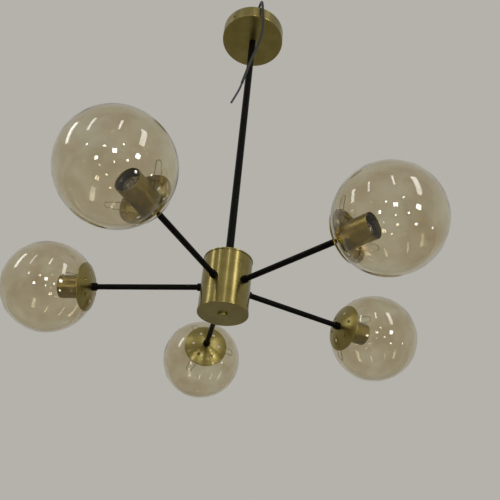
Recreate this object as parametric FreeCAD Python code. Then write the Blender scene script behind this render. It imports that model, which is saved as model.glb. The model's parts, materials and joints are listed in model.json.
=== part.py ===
"""Five-light sputnik chandelier, as an assembly of separate pieces.

Millimetres, +Z up. The origin is on the ceiling plane, at the middle of the mounting
bracket, and the stem's axis is the Z axis. Arm 1 points along +Y and the others follow
it counter-clockwise, seen from above.
"""
import FreeCAD
import Part

import math
import os

from FreeCAD import Vector

# ---------------------------------------------------------------- driving dimensions
ARM_COUNT = 5
ARM_STEP = 360.0 / ARM_COUNT
FIRST_ARM_AZIMUTH = 90.0

# canopy and ceiling bracket
CANOPY_R = 62.5
CANOPY_HEIGHT = 28.0
CANOPY_WALL = 1.0
CANOPY_CORNER_R = 2.0
SCREW_AZIMUTH = 42.0
SIDE_SCREW_R = 2.0
SIDE_SCREW_HEAD_R = 3.6
SIDE_SCREW_Z = -14.0
STRAP_REACH = 60.2
STRAP_WIDTH = 22.0
STRAP_THICK = 2.0
STRAP_EAR = 20.0
STRAP_LEAD_HOLE_R = 8.0
CEILING_HOLE_R = 2.5
CEILING_HOLE_PCD = 70.0

# stem and the hollow threaded tubes at its ends
STEM_LENGTH = 550.0
STEM_R = 6.5
THREAD_R = 4.95
THREAD_HOLE_R = 5.0
THREAD_BORE_R = 3.75
THREAD_ENGAGE = 22.0
NIPPLE_TOP_Z = -19.0
BUSHING_R = 6.4
BUSHING_HEIGHT = 3.0
NUT_ACROSS_FLATS = 14.0
NUT_THICK = 4.0
WASHER_R = 11.0
WASHER_THICK = 1.2

# hub
HUB_R = 39.2
HUB_WALL = 1.2
HUB_COVER_R = 40.0
HUB_HEIGHT = 98.0
HUB_TOP_TO_ARMS = 50.0
HUB_LID_THICK = 2.5
HUB_GROOVE = 0.8
HUB_CAP_HEIGHT = 4.8
HUB_CAP_FLOOR = 1.5
HUB_SPIGOT_R = 37.9
HUB_SPIGOT_WALL = 1.4
FINIAL_R = 7.75
FINIAL_HEIGHT = 3.8

# arms
ARM_R = 4.5
ARM_BORE_R = 3.5
ARM_HOLE_R = 4.55
ARM_INNER_END = 28.0
ARM_OUTER_END = 226.4
HUB_COLLAR_R = 6.2
HUB_COLLAR_END = 45.0
END_COLLAR_R = 6.5
END_COLLAR_START = 211.5
ARM_NUT_THICK = 3.4

# globe, dish and lampholder, along each arm from the hub's axis
GLOBE_CENTRE = 295.0
GLOBE_R = 75.0
GLASS_THICK = 1.8
MOUTH_R = 33.0
DISH_GAP = 0.5
DISH_THICK = 1.2
DISH_RIM_R = 40.0
VENT_COUNT = 6
VENT_R = 2.6
VENT_CIRCLE_R = 24.0
CUP_R = 19.0
CUP_WALL = 0.8
CUP_FRONT = 272.0
HOLDER_R = 18.0
HOLDER_FLOOR = 241.0
HOLDER_FRONT = 270.0
HOLDER_BORE_R = 13.75
HOLDER_MOUTH_R = 15.4
SHELL_R = 13.3
SHELL_WALL = 0.45
SHELL_BACK = 247.0
SHELL_FRONT = 262.0
CONTACT_WIDTH = 5.0
CONTACT_THICK = 0.5

# three wire clips on each dish hold the glass from inside its mouth
CLIP_WIRE_R = 0.6
CLIP_STEP = 120.0
CLIP_FIRST_ANGLES = [90.0, 20.0, 96.0, 34.0, 90.0]
CLIP_HALF_WIDTH_AT_FOOT = 8.4
CLIP_HALF_WIDTH_AT_TIP = 4.6
# where the wire runs: outwards from the arm's axis, and as a radius about the globe's centre
CLIP_PROFILE = [
    (21.5, 74.92),
    (28.0, 74.92),
    (31.3, 72.0),
    (36.5, 71.3),
    (44.5, 71.6),
    (53.0, 72.2),
]

# wiring
LEAD_R = 2.5
CORE_R = 0.95
CORE_GAP = 0.06
WIRE_R = 1.1
WIRE_OFFSET = 1.6
WIRE_OUTER_END = 233.0
SPLICE_R = 2.4
SPLICE_OFFSET = 2.8
SPLICE_START = 11.1
SPLICE_END = 26.0
LOOP_R = 10.0
WINDOW_AZIMUTH = 126.0
WINDOW_WIDTH = 6.0
WINDOW_HEIGHT = 20.0
RISER_END_ABOVE_ARMS = 6.0

# The supply lead leaves the bushing upwards, arches over the canopy's rim and hangs.
LEAD_ROUTE = [
    (0.0, 0.0, -16.0),
    (0.0, 0.0, 12.0),
    (1.0, -21.0, 33.0),
    (2.5, -48.0, 34.0),
    (3.5, -68.5, 14.0),
    (5.5, -72.5, -16.0),
    (8.5, -72.0, -46.0),
    (10.0, -70.5, -76.0),
    (7.5, -68.5, -104.0),
    (2.0, -65.5, -131.0),
    (-4.5, -61.5, -158.0),
    (-11.0, -57.5, -188.0),
    (-16.8, -53.5, -220.0),
]
# The two stripped cores go on from the sheath's end, side by side.
CORE_ROUTE = [
    (-16.8, -53.5, -220.0),
    (-19.2, -51.8, -233.3),
    (-24.5, -49.6, -250.0),
    (-31.8, -46.9, -271.0),
]

# ---------------------------------------------------------------- derived positions
CANOPY_FLOOR_Z = -CANOPY_HEIGHT
HUB_TOP_Z = CANOPY_FLOOR_Z - STEM_LENGTH
ARM_Z = HUB_TOP_Z - HUB_TOP_TO_ARMS
HUB_BOTTOM_Z = HUB_TOP_Z - HUB_HEIGHT
DISH_INNER_R = GLOBE_R + DISH_GAP
DISH_OUTER_R = DISH_INNER_R + DISH_THICK
ARM_AZIMUTHS = [FIRST_ARM_AZIMUTH + ARM_STEP * index for index in range(ARM_COUNT)]

UP = Vector(0, 0, 1)
ORIGIN = Vector(0, 0, 0)


# ---------------------------------------------------------------- construction helpers
def distance_at(sphere_radius, radius):
    """Distance from the hub's axis at which a globe-centred sphere has this radius."""
    return GLOBE_CENTRE - math.sqrt(sphere_radius ** 2 - radius ** 2)


def rod(radius, start, end):
    """Round bar along Z from start to end."""
    return Part.makeCylinder(radius, end - start, Vector(0, 0, start), UP)


def ring(outer, inner, start, end):
    """Plain tube along Z from start to end."""
    return rod(outer, start, end).cut(rod(inner, start - 1, end + 1))


def turned(points):
    """Solid of revolution about Z through (radius, height) points of its half section."""
    corners = [Vector(radius, 0, height) for radius, height in points]
    outline = Part.makePolygon(corners + corners[:1])
    return Part.Face(outline).revolve(ORIGIN, UP, 360)


def hex_nut(across_flats, bore_radius, start, end):
    """Hexagon nut along Z, its bore at the thread's diameter."""
    corner_r = across_flats / 2 / math.cos(math.pi / 6)
    corners = [
        Vector(corner_r * math.cos(k * math.pi / 3), corner_r * math.sin(k * math.pi / 3), start)
        for k in range(7)
    ]
    blank = Part.Face(Part.makePolygon(corners)).extrude(Vector(0, 0, end - start))
    return blank.cut(rod(bore_radius, start - 1, end + 1))


def turned_to(shape, azimuth):
    """Copy of a shape, turned about the Z axis."""
    copy = shape.copy()
    copy.rotate(ORIGIN, UP, azimuth)
    return copy


def on_arm(shape, azimuth):
    """Copy of a shape built along +Z, laid along an arm: its +X points up."""
    cos_a = math.cos(math.radians(azimuth))
    sin_a = math.sin(math.radians(azimuth))
    place = FreeCAD.Matrix(
        0, sin_a, cos_a, 0,
        0, -cos_a, sin_a, 0,
        1, 0, 0, ARM_Z,
        0, 0, 0, 1,
    )
    copy = shape.copy()
    copy.Placement = FreeCAD.Placement(place).multiply(shape.Placement)
    return copy


def on_every_arm(solids):
    """One group of separate solids: each given solid on each arm."""
    return Part.makeCompound([on_arm(solid, angle) for angle in ARM_AZIMUTHS for solid in solids])


def smooth_path(route):
    """Straight runs joined by tangent arcs, each as large as its two runs allow."""
    points = [Vector(*point) for point in route]
    edges, radii = [], []
    start = points[0]
    for before, corner, after in zip(points, points[1:], points[2:]):
        back = before - corner
        ahead = after - corner
        trim = 0.45 * min(back.Length, ahead.Length)
        half_turn = (math.pi - back.getAngle(ahead)) / 2
        radius = trim / math.tan(half_turn)
        radii.append(radius)
        back.normalize()
        ahead.normalize()
        arc_start = corner + back * trim
        arc_end = corner + ahead * trim
        middle_way = back + ahead
        middle_way.normalize()
        arc_middle = corner + middle_way * (radius / math.cos(half_turn) - radius)
        edges.append(Part.LineSegment(start, arc_start).toShape())
        edges.append(Part.Arc(arc_start, arc_middle, arc_end).toShape())
        start = arc_end
    edges.append(Part.LineSegment(start, points[-1]).toShape())
    return Part.Wire(edges), radii


def tube_along(route, radius, label):
    """Round solid cord along a route, with a printed account of its bends."""
    path, radii = smooth_path(route)
    points = [Vector(*point) for point in route]
    section = Part.Wire([Part.makeCircle(radius, points[0], points[1] - points[0])])
    solid = path.makePipeShell([section], True, False)
    ideal = math.pi * radius ** 2 * path.Length
    print(label, "length %.1f" % path.Length, "least radius %.1f" % min(radii),
          "volume ratio %.4f" % (solid.Volume / ideal))
    return solid


def shifted(route, offset):
    """The same route, moved sideways by an offset."""
    return [tuple(a + b for a, b in zip(point, offset)) for point in route]


def save(name, shape):
    """Write one named piece, or group of like pieces."""
    if not shape.isValid():
        print("not valid:", name)
    shape.exportStep("parts/" + name + ".step")


# ---------------------------------------------------------------- ceiling and canopy
def make_ceiling_bracket():
    """Steel strap with an ear turned down at each end for the canopy's side screws."""
    half_width = STRAP_WIDTH / 2
    strap = Part.makeBox(2 * STRAP_REACH, STRAP_WIDTH, STRAP_THICK,
                         Vector(-STRAP_REACH, -half_width, -STRAP_THICK))
    inner_face = STRAP_REACH - STRAP_THICK
    for side in (inner_face, -STRAP_REACH):
        strap = strap.fuse(Part.makeBox(STRAP_THICK, STRAP_WIDTH, STRAP_EAR,
                                        Vector(side, -half_width, -STRAP_EAR)))
    strap = strap.removeSplitter()
    bends = [edge for edge in strap.Edges
             if abs(edge.CenterOfMass.x) > inner_face - 0.1
             and abs(edge.CenterOfMass.y) < 0.1
             and edge.CenterOfMass.z > -STRAP_THICK - 0.1]
    strap = strap.makeFillet(STRAP_THICK / 2, bends)
    strap = strap.cut(rod(STRAP_LEAD_HOLE_R, -STRAP_THICK - 1, 1))
    for side in (-1, 1):
        hole = rod(CEILING_HOLE_R, -STRAP_THICK - 1, 1)
        hole.translate(Vector(side * CEILING_HOLE_PCD / 2, 0, 0))
        strap = strap.cut(hole)
    thread = Part.makeCylinder(SIDE_SCREW_R + 0.05, 2 * STRAP_REACH + 10,
                               Vector(-STRAP_REACH - 5, 0, SIDE_SCREW_Z), Vector(1, 0, 0))
    return turned_to(strap.cut(thread), SCREW_AZIMUTH)


def make_canopy():
    """Spun cup, open at the ceiling, with a rounded lower corner."""
    inner = CANOPY_R - CANOPY_WALL
    cup = rod(CANOPY_R, CANOPY_FLOOR_Z, 0)
    lower_edge = [edge for edge in cup.Edges
                  if len(edge.Vertexes) == 1 and abs(edge.CenterOfMass.z - CANOPY_FLOOR_Z) < 0.1]
    cup = cup.makeFillet(CANOPY_CORNER_R, lower_edge)
    cup = cup.cut(rod(inner, CANOPY_FLOOR_Z + CANOPY_WALL, 1))
    cup = cup.cut(rod(THREAD_HOLE_R, CANOPY_FLOOR_Z - 1, 0))
    hole = Part.makeCylinder(SIDE_SCREW_R + 0.2, 2 * CANOPY_R + 10,
                             Vector(-CANOPY_R - 5, 0, SIDE_SCREW_Z), Vector(1, 0, 0))
    return cup.cut(turned_to(hole, SCREW_AZIMUTH))


def make_side_screw():
    """Round-headed screw through the canopy's wall into the bracket's ear."""
    tip = STRAP_REACH - 5.0
    head_back = CANOPY_R
    head = 2.4
    screw = turned([
        (0, tip), (SIDE_SCREW_R - 0.4, tip), (SIDE_SCREW_R, tip + 0.5),
        (SIDE_SCREW_R, head_back), (SIDE_SCREW_HEAD_R, head_back),
        (SIDE_SCREW_HEAD_R, head_back + head * 0.5), (SIDE_SCREW_HEAD_R * 0.8, head_back + head * 0.85),
        (SIDE_SCREW_HEAD_R * 0.45, head_back + head), (0, head_back + head),
    ])
    slot = Part.makeBox(2 * SIDE_SCREW_HEAD_R, 0.9, 1.1,
                        Vector(-SIDE_SCREW_HEAD_R, -0.45, head_back + head - 1.0))
    screw = screw.cut(slot)
    screw.rotate(ORIGIN, Vector(0, 1, 0), 90)
    screw.translate(Vector(0, 0, SIDE_SCREW_Z))
    return screw


def save_ceiling_parts():
    save("ceiling_bracket", make_ceiling_bracket())
    save("canopy", make_canopy())
    screw = make_side_screw()
    save("canopy_side_screws", Part.makeCompound(
        [turned_to(screw, SCREW_AZIMUTH), turned_to(screw, SCREW_AZIMUTH + 180)]))
    washer_z = CANOPY_FLOOR_Z + CANOPY_WALL
    nut_z = washer_z + WASHER_THICK
    save("canopy_washer", ring(WASHER_R, THREAD_HOLE_R, washer_z, nut_z))
    save("canopy_locknut", hex_nut(NUT_ACROSS_FLATS, THREAD_HOLE_R, nut_z, nut_z + NUT_THICK))


# ---------------------------------------------------------------- stem
def save_stem_parts():
    nipple = ring(THREAD_R, THREAD_BORE_R, CANOPY_FLOOR_Z - THREAD_ENGAGE, NIPPLE_TOP_Z)
    save("stem_top_nipple", nipple)
    bushing = turned([
        (LEAD_R, NIPPLE_TOP_Z), (BUSHING_R, NIPPLE_TOP_Z),
        (BUSHING_R, NIPPLE_TOP_Z + BUSHING_HEIGHT * 0.6),
        (BUSHING_R - 1.4, NIPPLE_TOP_Z + BUSHING_HEIGHT), (LEAD_R, NIPPLE_TOP_Z + BUSHING_HEIGHT),
    ])
    save("nipple_bushing", bushing)
    save("stem_tube", ring(STEM_R, THREAD_HOLE_R, HUB_TOP_Z, CANOPY_FLOOR_Z))
    riser_top = LEAD_ROUTE[0][2]
    save("stem_lead_riser", rod(LEAD_R, ARM_Z + RISER_END_ABOVE_ARMS, riser_top))


# ---------------------------------------------------------------- hub
def make_hub_top_cover():
    """Lid with a spigot that drops inside the drum."""
    lid_under = HUB_TOP_Z - HUB_LID_THICK
    spigot_in = HUB_SPIGOT_R - HUB_SPIGOT_WALL
    spigot_end = lid_under - 5.0
    edge = 0.5
    return turned([
        (THREAD_HOLE_R, HUB_TOP_Z), (HUB_COVER_R - edge, HUB_TOP_Z),
        (HUB_COVER_R, HUB_TOP_Z - edge), (HUB_COVER_R, lid_under),
        (HUB_SPIGOT_R, lid_under), (HUB_SPIGOT_R, spigot_end),
        (spigot_in, spigot_end), (spigot_in, lid_under), (THREAD_HOLE_R, lid_under),
    ])


def make_hub_body():
    """Drum with a hole for each arm, a groove's width below the lid."""
    top = HUB_TOP_Z - HUB_LID_THICK - HUB_GROOVE
    bottom = HUB_BOTTOM_Z + HUB_CAP_HEIGHT
    drum = ring(HUB_R, HUB_R - HUB_WALL, bottom, top)
    for azimuth in ARM_AZIMUTHS:
        drum = drum.cut(on_arm(rod(ARM_HOLE_R, 20.0, 60.0), azimuth))
    return drum


def make_hub_bottom_cover():
    """Cap with a rim as wide as the lid, and a spigot inside the drum."""
    rim_top = HUB_BOTTOM_Z + HUB_CAP_HEIGHT
    floor_top = HUB_BOTTOM_Z + HUB_CAP_FLOOR
    spigot_in = HUB_SPIGOT_R - HUB_SPIGOT_WALL
    spigot_top = rim_top + 4.0
    edge = 0.6
    return turned([
        (THREAD_HOLE_R, HUB_BOTTOM_Z), (HUB_COVER_R - edge, HUB_BOTTOM_Z),
        (HUB_COVER_R, HUB_BOTTOM_Z + edge), (HUB_COVER_R, rim_top),
        (HUB_SPIGOT_R, rim_top), (HUB_SPIGOT_R, spigot_top),
        (spigot_in, spigot_top), (spigot_in, floor_top), (THREAD_HOLE_R, floor_top),
    ])


def make_tie_rod():
    """Hollow threaded rod from the stem to the finial, with a window for the wires."""
    bottom = HUB_BOTTOM_Z - FINIAL_HEIGHT * 0.6
    tube = ring(THREAD_R, THREAD_BORE_R, bottom, HUB_TOP_Z + THREAD_ENGAGE)
    window = Part.makeBox(3 * THREAD_R, WINDOW_WIDTH, WINDOW_HEIGHT,
                          Vector(0, -WINDOW_WIDTH / 2, ARM_Z - WINDOW_HEIGHT / 2))
    return tube.cut(turned_to(window, WINDOW_AZIMUTH))


def make_finial():
    """Low button with a blind threaded hole."""
    under = HUB_BOTTOM_Z - FINIAL_HEIGHT
    hole_end = HUB_BOTTOM_Z - FINIAL_HEIGHT * 0.65
    return turned([
        (THREAD_HOLE_R, HUB_BOTTOM_Z), (FINIAL_R, HUB_BOTTOM_Z),
        (FINIAL_R, under + 1.1), (FINIAL_R - 0.9, under + 0.2), (FINIAL_R - 2.2, under),
        (0, under), (0, hole_end), (THREAD_HOLE_R, hole_end),
    ])


def make_link_loop(height, side):
    """One core from the lead's end, out of the window and round the rod as a loop."""
    start = Vector(0, side * WIRE_R * 1.2, 0)
    down = Part.makeCylinder(WIRE_R, ARM_Z + RISER_END_ABOVE_ARMS - height,
                             start + Vector(0, 0, height), UP)
    elbow = Part.makeSphere(WIRE_R, start + Vector(0, 0, height))
    out = Part.makeCylinder(WIRE_R, LOOP_R, start + Vector(0, 0, height), Vector(1, 0, 0))
    loop = Part.makeTorus(LOOP_R, WIRE_R, Vector(0, 0, height), UP)
    return turned_to(down.fuse([elbow, out, loop]).removeSplitter(), WINDOW_AZIMUTH)


def save_hub_parts():
    save("hub_top_cover", make_hub_top_cover())
    save("hub_body", make_hub_body())
    save("hub_bottom_cover", make_hub_bottom_cover())
    save("hub_tie_rod", make_tie_rod())
    nut_top = HUB_TOP_Z - HUB_LID_THICK
    save("hub_locknut", hex_nut(NUT_ACROSS_FLATS, THREAD_HOLE_R, nut_top - NUT_THICK, nut_top))
    save("hub_finial", make_finial())
    save("hub_link_loops", Part.makeCompound([
        make_link_loop(ARM_Z + SPLICE_OFFSET, 1), make_link_loop(ARM_Z - SPLICE_OFFSET, -1)]))
    caps, wires = [], []
    for side in (-1, 1):
        cap = rod(SPLICE_R, SPLICE_START, SPLICE_END)
        cap.translate(Vector(side * SPLICE_OFFSET, 0, 0))
        caps.append(cap)
        wire = rod(WIRE_R, SPLICE_END, WIRE_OUTER_END)
        wire.translate(Vector(side * WIRE_OFFSET, 0, 0))
        wires.append(wire)
    save("hub_splice_caps", on_every_arm(caps))
    save("arm_wires", on_every_arm(wires))


# ---------------------------------------------------------------- arms
def make_hub_collar():
    """Collar on the arm, shaped to the drum's outside."""
    collar = turned([
        (ARM_HOLE_R, HUB_R - 2), (HUB_COLLAR_R, HUB_R - 2),
        (HUB_COLLAR_R, HUB_COLLAR_END - 0.8), (HUB_COLLAR_R - 0.8, HUB_COLLAR_END),
        (ARM_HOLE_R, HUB_COLLAR_END),
    ])
    drum = Part.makeCylinder(HUB_R, 40, Vector(-20, 0, 0), Vector(1, 0, 0))
    return collar.cut(drum)


def make_end_collar():
    """Collar between the arm's end and the dish, shaped to the dish's back."""
    front = distance_at(DISH_OUTER_R, END_COLLAR_R)
    collar = turned([
        (ARM_HOLE_R, END_COLLAR_START), (END_COLLAR_R - 0.8, END_COLLAR_START),
        (END_COLLAR_R, END_COLLAR_START + 0.8), (END_COLLAR_R, front + 1), (ARM_HOLE_R, front + 1),
    ])
    return collar.cut(Part.makeSphere(DISH_OUTER_R, Vector(0, 0, GLOBE_CENTRE)))


def make_dish():
    """Shallow cap that hugs the globe, with a ring of vent holes round the arm."""
    centre = Vector(0, 0, GLOBE_CENTRE)
    shell = Part.makeSphere(DISH_OUTER_R, centre).cut(Part.makeSphere(DISH_INNER_R, centre))
    dish = shell.common(rod(DISH_RIM_R, GLOBE_CENTRE - DISH_OUTER_R - 1, GLOBE_CENTRE - GLOBE_R / 2))
    back = GLOBE_CENTRE - DISH_OUTER_R - 1
    front = GLOBE_CENTRE - GLOBE_R + 12
    dish = dish.cut(rod(ARM_HOLE_R, back, front))
    for index in range(VENT_COUNT):
        angle = math.radians(30 + index * 360 / VENT_COUNT)
        vent = rod(VENT_R, back, front)
        vent.translate(Vector(VENT_CIRCLE_R * math.cos(angle), VENT_CIRCLE_R * math.sin(angle), 0))
        dish = dish.cut(vent)
    return dish


def make_clip():
    """Spring wire bent to a U. Its two feet are welded to the dish on either side of a vent,
    and its legs pass over the glass lip and draw together along the inside of the globe."""
    first, last = CLIP_PROFILE[0][0], CLIP_PROFILE[-1][0]
    leg = []
    for outwards, sphere_radius in CLIP_PROFILE:
        share = (outwards - first) / (last - first)
        sideways = CLIP_HALF_WIDTH_AT_FOOT + share * (CLIP_HALF_WIDTH_AT_TIP - CLIP_HALF_WIDTH_AT_FOOT)
        along = distance_at(sphere_radius, math.hypot(outwards, sideways))
        leg.append((outwards, sideways, along))
    other_leg = [(outwards, -sideways, along) for outwards, sideways, along in reversed(leg)]
    return tube_along(leg + other_leg, CLIP_WIRE_R, "globe clip")


def save_clips():
    """All the clips: three to a dish, on every arm."""
    clip = make_clip()
    clips = []
    for azimuth, first_angle in zip(ARM_AZIMUTHS, CLIP_FIRST_ANGLES):
        for index in range(round(360 / CLIP_STEP)):
            clips.append(on_arm(turned_to(clip, first_angle + index * CLIP_STEP), azimuth))
    save("globe_spring_clips", Part.makeCompound(clips))


def make_socket_cup():
    """Deep brass cup that hides the lampholder, its base clamped to the dish."""
    base = distance_at(DISH_INNER_R, CUP_R)
    inner = CUP_R - CUP_WALL
    return turned([
        (ARM_HOLE_R, base), (CUP_R, base), (CUP_R, CUP_FRONT), (inner, CUP_FRONT),
        (inner, base + DISH_THICK), (ARM_HOLE_R, base + DISH_THICK),
    ])


def make_lampholder():
    """Insulating body that fills the cup, with a deep bore and two wire holes."""
    bevel = 1.2
    back = distance_at(DISH_INNER_R, CUP_R) + DISH_THICK + ARM_NUT_THICK
    holder = turned([
        (0, back), (HOLDER_R, back), (HOLDER_R, HOLDER_FRONT - bevel),
        (HOLDER_R - bevel, HOLDER_FRONT), (HOLDER_MOUTH_R, HOLDER_FRONT),
        (HOLDER_BORE_R, HOLDER_FRONT - 3 * bevel), (HOLDER_BORE_R, HOLDER_FLOOR), (0, HOLDER_FLOOR),
    ])
    for side in (-1, 1):
        wire_hole = rod(WIRE_R + 0.1, back - 1, WIRE_OUTER_END)
        wire_hole.translate(Vector(side * WIRE_OFFSET, 0, 0))
        holder = holder.cut(wire_hole)
    return holder


def make_lamp_contact():
    """Bent spring tongue on the lampholder's floor, its tip on the lamp's axis."""
    rise = 4.5
    tongue = [(-9.0, 0.0), (-4.0, 0.0), (0.5, rise), (3.5, rise)]
    lower = [Vector(x, -CONTACT_WIDTH / 2, HOLDER_FLOOR + z) for x, z in tongue]
    upper = [point + Vector(0, 0, CONTACT_THICK) for point in reversed(lower)]
    outline = Part.makePolygon(lower + upper + lower[:1])
    return Part.Face(outline).extrude(Vector(0, CONTACT_WIDTH, 0))


def make_globe():
    """Blown glass globe with one round mouth towards the arm."""
    centre = Vector(0, 0, GLOBE_CENTRE)
    shell = Part.makeSphere(GLOBE_R, centre).cut(Part.makeSphere(GLOBE_R - GLASS_THICK, centre))
    return shell.cut(rod(MOUTH_R, GLOBE_CENTRE - GLOBE_R - 1, GLOBE_CENTRE - GLOBE_R / 2))


def save_arm_parts():
    nut_front = math.sqrt((HUB_R - HUB_WALL) ** 2 - (NUT_ACROSS_FLATS / 2) ** 2) - 0.3
    arm_nut = hex_nut(NUT_ACROSS_FLATS, ARM_HOLE_R, nut_front - ARM_NUT_THICK, nut_front)
    socket_nut_back = distance_at(DISH_INNER_R, CUP_R) + DISH_THICK
    socket_nut = hex_nut(NUT_ACROSS_FLATS, ARM_HOLE_R, socket_nut_back,
                         socket_nut_back + ARM_NUT_THICK)
    save("arm_locknuts", on_every_arm([arm_nut]))
    save("arm_hub_collars", on_every_arm([make_hub_collar()]))
    save("arm_end_collars", on_every_arm([make_end_collar()]))
    save("socket_locknuts", on_every_arm([socket_nut]))
    save_clips()
    save("lamp_contacts", on_every_arm([make_lamp_contact()]))
    pieces = {
        "arm_tube": ring(ARM_R, ARM_BORE_R, ARM_INNER_END, ARM_OUTER_END),
        "vented_dish": make_dish(),
        "socket_cup": make_socket_cup(),
        "lampholder": make_lampholder(),
        "screw_shell": ring(SHELL_R + SHELL_WALL, SHELL_R, SHELL_BACK, SHELL_FRONT),
        "glass_globe": make_globe(),
    }
    for name, piece in pieces.items():
        for index, azimuth in enumerate(ARM_AZIMUTHS, start=1):
            save("%s_%d" % (name, index), on_arm(piece, azimuth))


# ---------------------------------------------------------------- supply lead
def save_lead():
    save("supply_lead", tube_along(LEAD_ROUTE, LEAD_R, "supply lead"))
    run = Vector(*CORE_ROUTE[1]) - Vector(*CORE_ROUTE[0])
    sideways = run.cross(Vector(0, 1, 0))
    sideways.normalize()
    for name, side in (("live", -1), ("neutral", 1)):
        offset = sideways * (side * (CORE_R + CORE_GAP))
        save("lead_core_" + name, tube_along(shifted(CORE_ROUTE, offset), CORE_R, name + " core"))


def main():
    os.makedirs("parts", exist_ok=True)
    save_ceiling_parts()
    save_stem_parts()
    save_hub_parts()
    save_arm_parts()
    save_lead()


main()
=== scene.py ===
"""Five-light sputnik chandelier: its finishes, lead and studio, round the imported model.

Blender works in metres, with +Z up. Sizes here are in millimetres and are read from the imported
pieces where those give them. Each arm has a frame of its own: its Z runs outwards along the arm
from the hub's axis, its X points up and its Y lies level.
"""
import json
import math

import bmesh
import bpy
from mathutils import Matrix, Vector
from mathutils.geometry import delaunay_2d_cdt


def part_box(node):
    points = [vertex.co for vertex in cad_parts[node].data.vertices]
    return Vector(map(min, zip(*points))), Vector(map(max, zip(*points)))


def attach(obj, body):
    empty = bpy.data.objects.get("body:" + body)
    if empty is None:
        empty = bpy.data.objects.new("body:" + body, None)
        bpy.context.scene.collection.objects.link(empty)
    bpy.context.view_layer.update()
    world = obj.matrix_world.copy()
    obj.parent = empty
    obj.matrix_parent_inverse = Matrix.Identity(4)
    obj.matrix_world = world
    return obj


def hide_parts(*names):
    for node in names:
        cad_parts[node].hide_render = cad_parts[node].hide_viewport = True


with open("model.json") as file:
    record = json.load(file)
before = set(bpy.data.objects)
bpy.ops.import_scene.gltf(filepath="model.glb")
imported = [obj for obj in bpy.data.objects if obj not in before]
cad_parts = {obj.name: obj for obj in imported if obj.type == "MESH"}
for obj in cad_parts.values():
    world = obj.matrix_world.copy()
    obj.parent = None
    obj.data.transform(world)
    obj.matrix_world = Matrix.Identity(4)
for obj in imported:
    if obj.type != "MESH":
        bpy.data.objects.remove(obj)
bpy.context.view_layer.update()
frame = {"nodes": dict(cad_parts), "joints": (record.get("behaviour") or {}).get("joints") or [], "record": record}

scene = bpy.context.scene
MM = 0.001
TURN = 2 * math.pi
X, Y, Z = 0, 1, 2


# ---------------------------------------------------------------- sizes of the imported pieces, mm
def reach(node, axis):
    """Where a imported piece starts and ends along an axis, to a tenth of a millimetre."""
    low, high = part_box(node)
    return round(low[axis] / MM, 1), round(high[axis] / MM, 1)


def girth(node):
    """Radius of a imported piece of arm 1, or of all five, seen along the arm."""
    low, high = reach(node, Z)
    return (high - low) / 2


ARM_Z = sum(reach("arm_tube_1", Z)) / 2
HUB_R = reach("hub_body", X)[1]
HUB_TOP_Z = reach("hub_top_cover", Z)[1]
HUB_BODY_BOTTOM_Z = reach("hub_body", Z)[0]
HUB_BOTTOM_Z, CAP_SPIGOT_Z = reach("hub_bottom_cover", Z)
LID_SPIGOT_Z = reach("hub_top_cover", Z)[0]
COVER_R = reach("hub_top_cover", X)[1]
FINIAL_R = reach("hub_finial", X)[1]
FINIAL_UNDER_Z = reach("hub_finial", Z)[0]
GLOBE_R = girth("glass_globe_1")
GLOBE_CENTRE = reach("glass_globe_1", Y)[1] - GLOBE_R
ARM_HOLE_R = girth("arm_tube_1") + 0.05
DISH_BACK = reach("vented_dish_1", Y)[0]
DISH_RIM_R = girth("vented_dish_1")
DISH_OUTER_R = math.hypot(GLOBE_CENTRE - DISH_BACK, ARM_HOLE_R)
CUP_BACK, CUP_FRONT = reach("socket_cup_1", Y)
CUP_R = girth("socket_cup_1")
HOLDER_BACK, HOLDER_FRONT = reach("lampholder_1", Y)
HOLDER_R = girth("lampholder_1")
SHELL_BACK, SHELL_FRONT = reach("screw_shell_1", Y)
HUB_COLLAR_R = girth("arm_hub_collars")
HUB_COLLAR_END = reach("arm_hub_collars", Y)[1]
END_COLLAR_R = girth("arm_end_collars")
NIPPLE_BOTTOM_Z, NIPPLE_TOP_Z = reach("stem_top_nipple", Z)
BUSHING_TOP_Z = reach("nipple_bushing", Z)[1]
BUSHING_R = reach("nipple_bushing", X)[1]
CANOPY_R = reach("canopy", X)[1]
NUT_BOTTOM_Z, NUT_TOP_Z = reach("canopy_locknut", Z)
SCREW_Z = sum(reach("canopy_side_screws", Z)) / 2
SCREW_HEAD_R = reach("canopy_side_screws", Z)[1] - SCREW_Z

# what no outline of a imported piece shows
GLASS_THICK = 1.8
MOUTH_R = 33.0
DISH_THICK = 1.2
VENT_COUNT = 6
VENT_FIRST_ANGLE = math.radians(30)
VENT_R = 2.6
VENT_CIRCLE_R = 24.0
CUP_WALL = 0.8
END_COLLAR_START = 211.5
HOLDER_FLOOR = 241.0
HOLDER_BORE_R = 13.75
HOLDER_MOUTH_R = 15.4
# round threads: crest and root radii, pitch and sheet thickness
SHELL_THREAD = (12.4, 13.4, 3.63)
SHELL_SHEET = 0.3
NIPPLE_THREAD = (4.45, 4.95 - 0.25, 1.0)
NIPPLE_WALL = 0.5
CLIP_WIRE_R = 0.6
CLIP_STEP = 120.0
CLIP_FIRST_ANGLES = [90.0, 20.0, 96.0, 34.0, 90.0]
CLIP_HALF_WIDTH_AT_FOOT = 8.4
CLIP_HALF_WIDTH_AT_TIP = 4.6
# where a clip's wire runs: outwards from the arm's axis, and as a radius about the globe's centre
CLIP_PROFILE = [(21.5, 74.92), (28.0, 74.92), (31.3, 72.0), (36.5, 71.3), (44.5, 71.6), (53.0, 72.2)]
THREAD_HOLE_R = 5.0
FINIAL_HOLE_DEPTH = 2.4
LID_THICK = 2.5
CAP_FLOOR = 1.5
SPIGOT_R = 37.9
SPIGOT_WALL = 1.4
NUT_ACROSS_FLATS = 14.0
SCREW_AZIMUTH = 42.0
SCREW_SHANK_R = 2.0
SCREW_TIP = 55.2
LEAD_R = 2.5
CORE_R = 0.95
CORE_GAP = 0.06

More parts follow.
